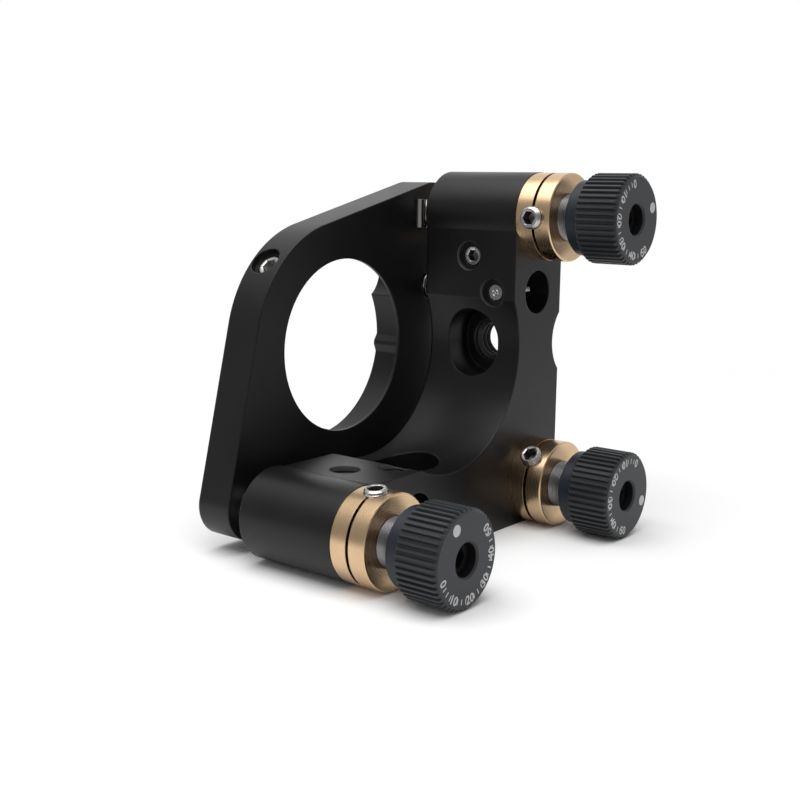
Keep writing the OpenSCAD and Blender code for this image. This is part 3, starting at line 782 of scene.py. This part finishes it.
class MIRRORMOUNT_OT_springs(bpy.types.Operator):
    """Makes the return springs, each cut into three parts along its length"""

    bl_idname = "mirror_mount.springs"
    bl_label = "Return Springs"

    def execute(self, context):
        look = context.scene.mirror_mount_finishes
        wire = turned_material("Spring wire", shaded(look.steel, 0.8), 0.3, FINE_RINGS)
        for leg in LEGS:
            node = "return_spring_" + leg
            low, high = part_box(node)
            centre = middle(node)
            first = low[1] + HOOK_LENGTH
            reach = (high[1] - HOOK_LENGTH - first) / len(SPRING_PARTS)
            for index, (part, joint_name) in enumerate(SPRING_PARTS):
                start = Vector((centre.x, first + index * reach, centre.z))
                end = start + FORWARD * reach
                shape = bmesh.new()
                shape.from_mesh(frame["nodes"][node].data)
                bmesh.ops.remove_doubles(shape, verts=shape.verts, dist=MERGE_DISTANCE)
                if index > 0:
                    keep_beyond(shape, start, FORWARD)
                if index < len(SPRING_PARTS) - 1:
                    keep_beyond(shape, end, -FORWARD)
                piece = finish_piece(f"spring_{leg}_{part}", shape, (wire,), None,
                                     (node,), WIRE_CREASE)
                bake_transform(piece)
        return {"FINISHED"}


class MIRRORMOUNT_OT_post_threads(bpy.types.Operator):
    """Cuts the thread in the two post holes"""

    bl_idname = "mirror_mount.post_threads"
    bl_label = "Post Hole Threads"

    def execute(self, context):
        thread = context.scene.mirror_mount_threads
        look = context.scene.mirror_mount_finishes
        # The ridge is painted lighter than the plates: painted light on the thread's crests.
        material = anodised_material("Cut post thread", shaded(look.plates, 8), 0.3, 0.03 * MM)
        for mount in ("post_hole_bottom", "post_hole_side"):
            hole = MOUNTS[mount]
            outward = Vector(hole["axis"])
            shape = self.ridge(hole["dims"]["r_mm"] * MM, POST_THREAD_LENGTH, thread)
            put(shape, Vector(hole["pos_m"]) - outward * POST_THREAD_LENGTH / 2, outward)
            finish_piece(mount.replace("hole", "hole_thread"), shape, (material,), "root")
        return {"FINISHED"}

    def ridge(self, radius, reach, thread):
        """A ridge that winds round the inside of a hole along Y."""
        shape = bmesh.new()
        pitch, top = thread.post_pitch, radius - thread.post_depth
        foot, crest = POST_THREAD_FOOT * pitch, POST_THREAD_CREST * pitch
        profile = ((radius, -foot), (top, -crest), (top, crest), (radius, foot))
        verts = [shape.verts.new((across, foot + along, 0)) for across, along in profile]
        face = shape.faces.new(verts)
        turns = (reach - 2 * foot) / pitch
        bmesh.ops.spin(shape, geom=[face], cent=(0, 0, 0), axis=FORWARD, angle=tau * turns,
                       steps=round(POST_THREAD_STEPS * turns),
                       dvec=(0, pitch / POST_THREAD_STEPS, 0), use_duplicate=False)
        return shape


class MIRRORMOUNT_OT_dials(bpy.types.Operator):
    """Prints the dot and a plain scale on each knob's face"""

    bl_idname = "mirror_mount.dials"
    bl_label = "Knob Dials"

    def execute(self, context):
        dial = context.scene.mirror_mount_dial
        material = paint_material("Dial paint", context.scene.mirror_mount_finishes.paint)
        for name in ADJUSTERS:
            dot = getattr(dial, "dot_" + name)
            shape = self.disc(dial)
            self.place(shape, shape.verts, dial.dot_place, dot)
            for mark in range(SCALE_MARKS):
                bearing = dot + pi - dial.sweep / 2 + dial.sweep * mark / (SCALE_MARKS - 1)
                if mark % FIGURE_EVERY:
                    self.tick(shape, dial, bearing)
                else:
                    figure = SCALE_END * mark // (SCALE_MARKS - 1)
                    self.figure(shape, dial, str(figure), bearing)
            put(shape, knob_axis(name))
            finish_piece("dial_" + name, shape, (material,), "turning_knob_" + name)
        return {"FINISHED"}

    def disc(self, dial):
        """The index dot, its face towards minus Y."""
        shape = bmesh.new()
        made = bmesh.ops.create_cone(shape, cap_ends=True, segments=40, radius1=dial.dot_radius,
                                     radius2=dial.dot_radius, depth=dial.paint_depth)
        bmesh.ops.translate(shape, verts=made["verts"], vec=(0, 0, dial.paint_depth / 2))
        return shape

    def place(self, shape, verts, distance, bearing):
        """Moves marks drawn in XY, their top towards the axis, on to the face."""
        inward = Vector((-cos(bearing), 0, -sin(bearing)))
        across = Vector((-sin(bearing), 0, cos(bearing)))
        turn = Matrix((across, inward, -FORWARD)).transposed().to_4x4()
        bmesh.ops.transform(shape, matrix=Matrix.Translation(-inward * distance) @ turn,
                            verts=list(verts))

    def tick(self, shape, dial, bearing):
        """One short line of the scale."""
        made = bmesh.ops.create_cube(shape, size=1)
        bmesh.ops.scale(shape, verts=made["verts"],
                        vec=(TICK_WIDTH, TICK_HEIGHT * dial.figure_height, dial.paint_depth))
        bmesh.ops.translate(shape, vec=(0, 0, dial.paint_depth / 2), verts=made["verts"])
        self.place(shape, made["verts"], dial.figure_place, bearing)

    def figure(self, shape, dial, text, bearing):
        """One number of the scale."""
        curve = bpy.data.curves.new("figure", "FONT")
        curve.body = text
        curve.size = dial.figure_height * FONT_SIZE
        curve.align_x, curve.align_y = "CENTER", "CENTER"
        curve.extrude = dial.paint_depth / 2
        curve.offset = STROKE_OFFSET
        curve.resolution_u = 3
        carrier = bpy.data.objects.new("figure", curve)
        bpy.context.scene.collection.objects.link(carrier)
        bpy.context.view_layer.update()
        depsgraph = bpy.context.evaluated_depsgraph_get()
        mesh = bpy.data.meshes.new_from_object(carrier.evaluated_get(depsgraph))
        before = set(shape.verts)
        shape.from_mesh(mesh)
        verts = [vert for vert in shape.verts if vert not in before]
        bmesh.ops.translate(shape, vec=(0, 0, dial.paint_depth / 2), verts=verts)
        self.place(shape, verts, dial.figure_place, bearing)
        bpy.data.objects.remove(carrier)
        bpy.data.curves.remove(curve)
        bpy.data.meshes.remove(mesh)


class MIRRORMOUNT_OT_stage(bpy.types.Operator):
    """Makes the floor, the lamps, the world and the camera"""

    bl_idname = "mirror_mount.stage"
    bl_label = "Stage"

    def execute(self, context):
        stage = context.scene.mirror_mount_stage
        self.make_floor(stage)
        self.make_world(context.scene, stage)
        self.make_lamps()
        self.make_camera(context.scene, stage)
        return {"FINISHED"}

    def make_floor(self, stage):
        """White paper under the mount that fades into the white all round."""
        disc = bmesh.new()
        bmesh.ops.create_circle(disc, cap_ends=True, segments=96, radius=FLOOR_RADIUS)
        mesh = bpy.data.meshes.new("floor")
        disc.to_mesh(mesh)
        disc.free()
        floor = bpy.data.objects.new("floor", mesh)
        bpy.context.scene.collection.objects.link(floor)
        floor.location.z = CAD_BOX[0][2] - FLOOR_DROP
        material, tree, shader = new_material("Floor paper")
        shader.inputs["Base Color"].default_value = (*stage.floor, 1)
        shader.inputs["Roughness"].default_value = 0.9
        shader.inputs["Specular IOR Level"].default_value = 0.1
        away = tree.nodes.new("ShaderNodeVectorMath")
        away.operation = "LENGTH"
        tree.links.new(object_coordinates(tree), away.inputs[0])
        fade = remap(tree, away.outputs["Value"], 0, 1, *FLOOR_FADE)
        clear = tree.nodes.new("ShaderNodeBsdfTransparent")
        mix = tree.nodes.new("ShaderNodeMixShader")
        tree.links.new(fade, mix.inputs["Fac"])
        tree.links.new(shader.outputs["BSDF"], mix.inputs[1])
        tree.links.new(clear.outputs["BSDF"], mix.inputs[2])
        tree.links.new(mix.outputs["Shader"], tree.nodes["Material Output"].inputs["Surface"])
        mesh.materials.append(material)

    def make_world(self, scene, stage):
        """White to the camera and in reflections of the backdrop, a low fill to the rest."""
        world = bpy.data.worlds.new("studio")
        world.use_nodes = True
        tree = world.node_tree
        tree.nodes.clear()
        output = tree.nodes.new("ShaderNodeOutputWorld")
        sky = tree.nodes.new("ShaderNodeBackground")
        sky.inputs["Color"].default_value = (1, 1, 1, 1)
        path = tree.nodes.new("ShaderNodeLightPath")
        backdrop = tree.nodes.new("ShaderNodeVectorMath")
        backdrop.operation = "DOT_PRODUCT"
        backdrop.inputs[1].default_value = BACKDROP
        direction = tree.nodes.new("ShaderNodeTexCoord").outputs["Generated"]
        tree.links.new(direction, backdrop.inputs[0])
        side = remap(tree, backdrop.outputs["Value"], *BACKDROP_LEVELS, *BACKDROP_RANGE)
        mirrored = maths(tree, "MULTIPLY", path.outputs["Is Glossy Ray"], side)
        spread = maths(tree, "MULTIPLY", path.outputs["Is Diffuse Ray"], stage.fill)
        through = maths(tree, "MAXIMUM", path.outputs["Is Camera Ray"],
                        path.outputs["Is Transmission Ray"])
        level = maths(tree, "MAXIMUM", through, maths(tree, "MAXIMUM", mirrored, spread))
        tree.links.new(level, sky.inputs["Strength"])
        tree.links.new(sky.outputs["Background"], output.inputs["Surface"])
        scene.world = world
        scene.view_settings.view_transform = "Standard"

    def make_lamps(self):
        """A big soft lamp overhead and a small, weak one on the right."""
        for name, place, width, depth, power in LAMPS:
            lamp = bpy.data.lights.new(name, "AREA")
            lamp.shape = "RECTANGLE"
            lamp.size, lamp.size_y = width, depth
            lamp.energy = power
            light = bpy.data.objects.new(name, lamp)
            light.location = place
            light.rotation_euler = (LAMP_TARGET - Vector(place)).to_track_quat("-Z", "Y").to_euler()
            bpy.context.scene.collection.objects.link(light)

    def make_camera(self, scene, stage):
        """A camera that looks along its azimuth and elevation."""
        data = bpy.data.cameras.new("camera")
        data.sensor_width = SENSOR_WIDTH
        data.lens = stage.lens
        data.clip_start = CLIP_START
        camera = bpy.data.objects.new("camera", data)
        view = (Matrix.Rotation(stage.azimuth, 4, "Z")
                @ Matrix.Rotation(pi / 2 - stage.elevation, 4, "X")
                @ Matrix.Rotation(stage.roll, 4, "Z"))
        camera.matrix_world = Matrix.Translation(stage.place) @ view
        scene.collection.objects.link(camera)
        scene.camera = camera


class MIRRORMOUNT_PT_panel(bpy.types.Panel):
    """Sidebar panel of the mirror mount"""

    bl_label = "Mirror Mount"
    bl_space_type = "VIEW_3D"
    bl_region_type = "UI"
    bl_category = "Mirror Mount"

    def draw(self, context):
        for operator in OPERATORS:
            self.layout.operator(operator.bl_idname)


SETTINGS = {
    "mirror_mount_finishes": MirrorMountFinishes,
    "mirror_mount_threads": MirrorMountThreads,
    "mirror_mount_dial": MirrorMountDial,
    "mirror_mount_stage": MirrorMountStage,
}
OPERATORS = (MIRRORMOUNT_OT_finishes, MIRRORMOUNT_OT_adjusters, MIRRORMOUNT_OT_set_screws,
             MIRRORMOUNT_OT_springs, MIRRORMOUNT_OT_post_threads, MIRRORMOUNT_OT_dials,
             MIRRORMOUNT_OT_stage)
CLASSES = (*SETTINGS.values(), *OPERATORS, MIRRORMOUNT_PT_panel)


def register():
    """Adds the settings, the operators and the panel."""
    for cls in CLASSES:
        bpy.utils.register_class(cls)
    for name, group in SETTINGS.items():
        setattr(bpy.types.Scene, name, bpy.props.PointerProperty(type=group))


def unregister():
    """Takes them away again."""
    for name in SETTINGS:
        delattr(bpy.types.Scene, name)
    for cls in reversed(CLASSES):
        bpy.utils.unregister_class(cls)


def main():
    """Builds the whole scene."""
    register()
    bpy.ops.mirror_mount.finishes()
    bpy.ops.mirror_mount.adjusters()
    bpy.ops.mirror_mount.set_screws()
    bpy.ops.mirror_mount.springs()
    bpy.ops.mirror_mount.post_threads()
    bpy.ops.mirror_mount.dials()
    bpy.ops.mirror_mount.stage()


if __name__ == "__main__":
    main()
